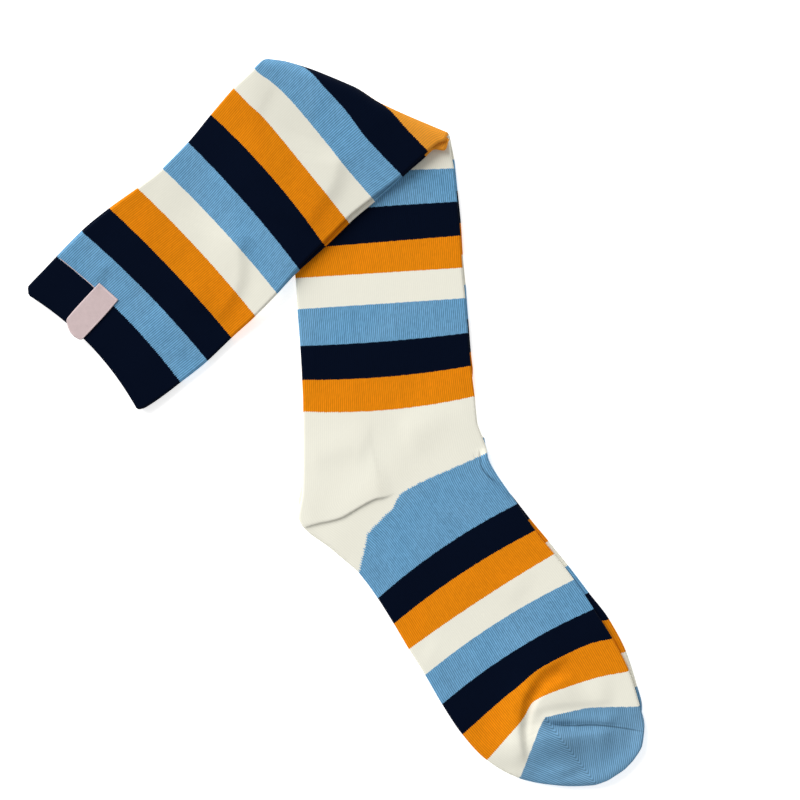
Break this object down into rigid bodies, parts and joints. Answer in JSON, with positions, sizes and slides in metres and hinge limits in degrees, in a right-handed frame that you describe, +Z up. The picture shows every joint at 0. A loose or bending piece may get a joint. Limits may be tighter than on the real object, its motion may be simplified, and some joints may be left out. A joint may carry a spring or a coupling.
{
  "type": "pair of knee socks",
  "caption": "Knee socks laid flat one on the other and folded across the leg, in wide knitted bands of blue, navy, orange and cream, with a ribbon label over one cuff.",
  "frame": {"origin": "middle of the pair's bounding box, at the surface that it lies on", "axes": "+Z up from that surface, +Y from the feet towards the fold across the legs, +X towards the side that the toes point to"},
  "size_m": [0.3267, 0.3854, 0.0125],
  "materials": {
    "striped_knit": "matt fine-gauge cotton knit, in even bands of blue, navy, orange and cream yarn",
    "label_ribbon": "pale pink woven satin ribbon with a soft sheen"
  },
  "bodies": {
    "root": {"sock_lower": "striped_knit", "sock_upper": "striped_knit", "label": "label_ribbon"}
  },
  "joints": []
}
